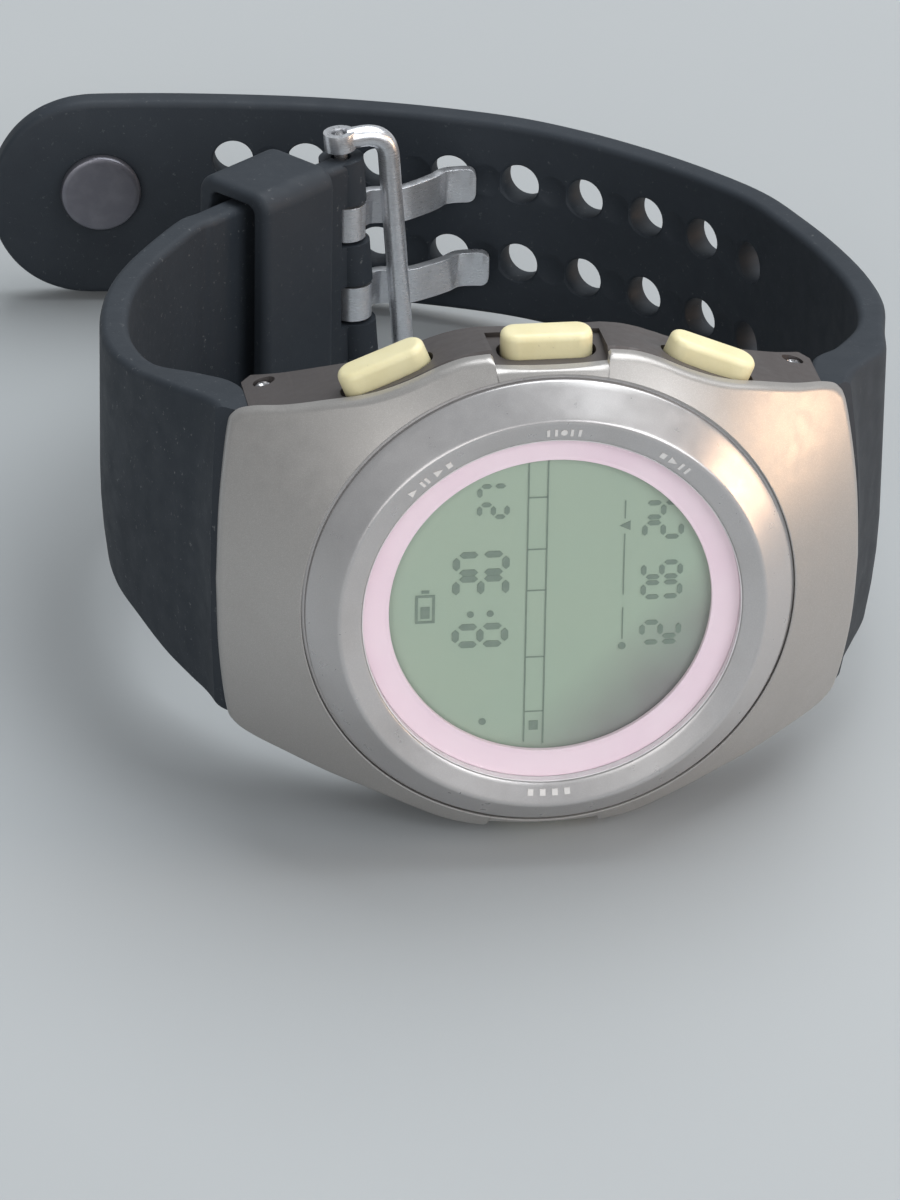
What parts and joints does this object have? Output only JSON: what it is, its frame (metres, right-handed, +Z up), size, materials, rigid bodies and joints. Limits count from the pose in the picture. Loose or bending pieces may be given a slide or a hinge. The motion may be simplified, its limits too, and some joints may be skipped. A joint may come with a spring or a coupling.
{
  "type": "digital sports watch",
  "caption": "Digital wrist watch with round display, side push buttons and a soft two-piece strap with a double-prong buckle, lying unbuckled on its side.",
  "frame": {"origin": "middle of the bounding box's footprint on the surface that the watch rests on", "axes": "+Z up, +X from 12 o'clock to 6 o'clock of the dial, +Y from the glass towards the strap's far end"},
  "size_m": [0.0666, 0.0844, 0.0416],
  "materials": {
    "case_resin": "dark brown-grey moulded resin, satin",
    "fascia_paint": "fine silver paint, satin",
    "bezel_paint": "fine silver paint, satin, bright ridge",
    "mineral_glass": "clear polished mineral glass",
    "seal_rubber": "soft black rubber",
    "ring_plastic": "pale pink satin ring",
    "display": "grey-green reflective display",
    "backlight_film": "thin pale film",
    "module_plastic": "white moulding",
    "board": "green laminate",
    "chip_resin": "black encapsulant",
    "steel": "plain drawn steel",
    "cell_steel": "nickel-plated",
    "brass": "thin brass disc",
    "back_steel": "circular brushed",
    "strap_resin": "dark slate moulded polyurethane, satin",
    "grey_steel": "dark satin steel",
    "buckle_steel": "satin steel, polished on edges",
    "button_cream": "yellowed cream plastic, satin"
  },
  "bodies": {
    "case": {"case_body": "case_resin", "fascia": "fascia_paint", "bezel": "bezel_paint", "crystal": "mineral_glass", "crystal_gasket": "seal_rubber", "chapter_ring": "ring_plastic", "lcd_panel": "display", "el_backlight": "backlight_film", "zebra_connector_12": "seal_rubber", "zebra_connector_6": "seal_rubber", "module_frame": "module_plastic", "circuit_board": "board", "driver_chip": "chip_resin", "quartz_can": "steel", "coin_cell": "cell_steel", "battery_clip": "steel", "piezo_buzzer": "brass", "case_back": "back_steel", "case_back_gasket": "seal_rubber", "case_back_screw_1": "steel", "case_back_screw_2": "steel", "case_back_screw_3": "steel", "case_back_screw_4": "steel", "button_spring_light": "steel", "button_spring_start": "steel", "button_spring_reset": "steel", "button_spring_mode": "steel", "button_seal_light": "seal_rubber", "button_seal_start": "seal_rubber", "button_seal_reset": "seal_rubber", "button_seal_mode": "seal_rubber", "lug_pin_long": "steel", "lug_pin_short": "steel"},
    "button_light_body": {"button_light": "button_cream", "button_clip_light": "steel"},
    "button_start_body": {"button_start": "button_cream", "button_clip_start": "steel"},
    "button_reset_body": {"button_reset": "button_cream", "button_clip_reset": "steel"},
    "button_mode_body": {"button_mode": "button_cream", "button_clip_mode": "steel"},
    "long_strap_body": {"long_strap": "strap_resin", "tip_stud": "grey_steel", "tip_stud_washer": "grey_steel"},
    "short_strap_body": {"short_strap": "strap_resin", "spring_bar": "steel"},
    "keeper_body": {"keeper": "strap_resin"},
    "buckle_body": {"buckle_frame": "buckle_steel"},
    "prong_upper_body": {"prong_upper": "buckle_steel"},
    "prong_lower_body": {"prong_lower": "buckle_steel"}
  },
  "joints": [
    {"name": "button_light_press", "type": "slide", "parent": "case", "child": "button_light_body", "axis": [0, -0.1557, -0.9878], "range_m": [0, 0.0009], "stiffness_N_per_m": 1200, "springref_m": -0.0008, "deforming": ["button_spring_light"]},
    {"name": "button_start_press", "type": "slide", "parent": "case", "child": "button_start_body", "axis": [0.3827, -0.1439, -0.9126], "range_m": [0, 0.0009], "stiffness_N_per_m": 1200, "springref_m": -0.0008, "deforming": ["button_spring_start"]},
    {"name": "button_reset_press", "type": "slide", "parent": "case", "child": "button_reset_body", "axis": [-0.3827, -0.1439, -0.9126], "range_m": [0, 0.0009], "stiffness_N_per_m": 1200, "springref_m": -0.0008, "deforming": ["button_spring_reset"]},
    {"name": "button_mode_press", "type": "slide", "parent": "case", "child": "button_mode_body", "axis": [0, 0.1557, 0.9878], "range_m": [0, 0.0009], "stiffness_N_per_m": 1200, "springref_m": -0.0008, "deforming": ["button_spring_mode"]},
    {"name": "long_strap_hinge", "type": "hinge", "parent": "case", "child": "long_strap_body", "pos_m": [0.02346, -0.02428, 0.01944], "axis": [0, 0.1557, 0.9878], "range_deg": [-2, 0]},
    {"name": "short_strap_hinge", "type": "hinge", "parent": "case", "child": "short_strap_body", "pos_m": [-0.01754, -0.02428, 0.01944], "axis": [0, 0.1557, 0.9878], "range_deg": [-2.5, 0]},
    {"name": "keeper_slide", "type": "slide", "parent": "short_strap_body", "child": "keeper_body", "axis": [0.7604, 0.6415, -0.1011], "range_m": [-0.0035, 0.0018]},
    {"name": "buckle_hinge", "type": "hinge", "parent": "short_strap_body", "child": "buckle_body", "pos_m": [-0.00498, 0.02511, 0.01165], "axis": [-0.0802, 0.1552, 0.9846], "range_deg": [-95, 0]},
    {"name": "prong_upper_hinge", "type": "hinge", "parent": "short_strap_body", "child": "prong_upper_body", "pos_m": [-0.00527, 0.02567, 0.0152], "axis": [0, 0.1557, 0.9878], "range_deg": [0, 1]},
    {"name": "prong_lower_hinge", "type": "hinge", "parent": "short_strap_body", "child": "prong_lower_body", "pos_m": [-0.00469, 0.02455, 0.00809], "axis": [0, 0.1557, 0.9878], "range_deg": [0, 5]}
  ]
}
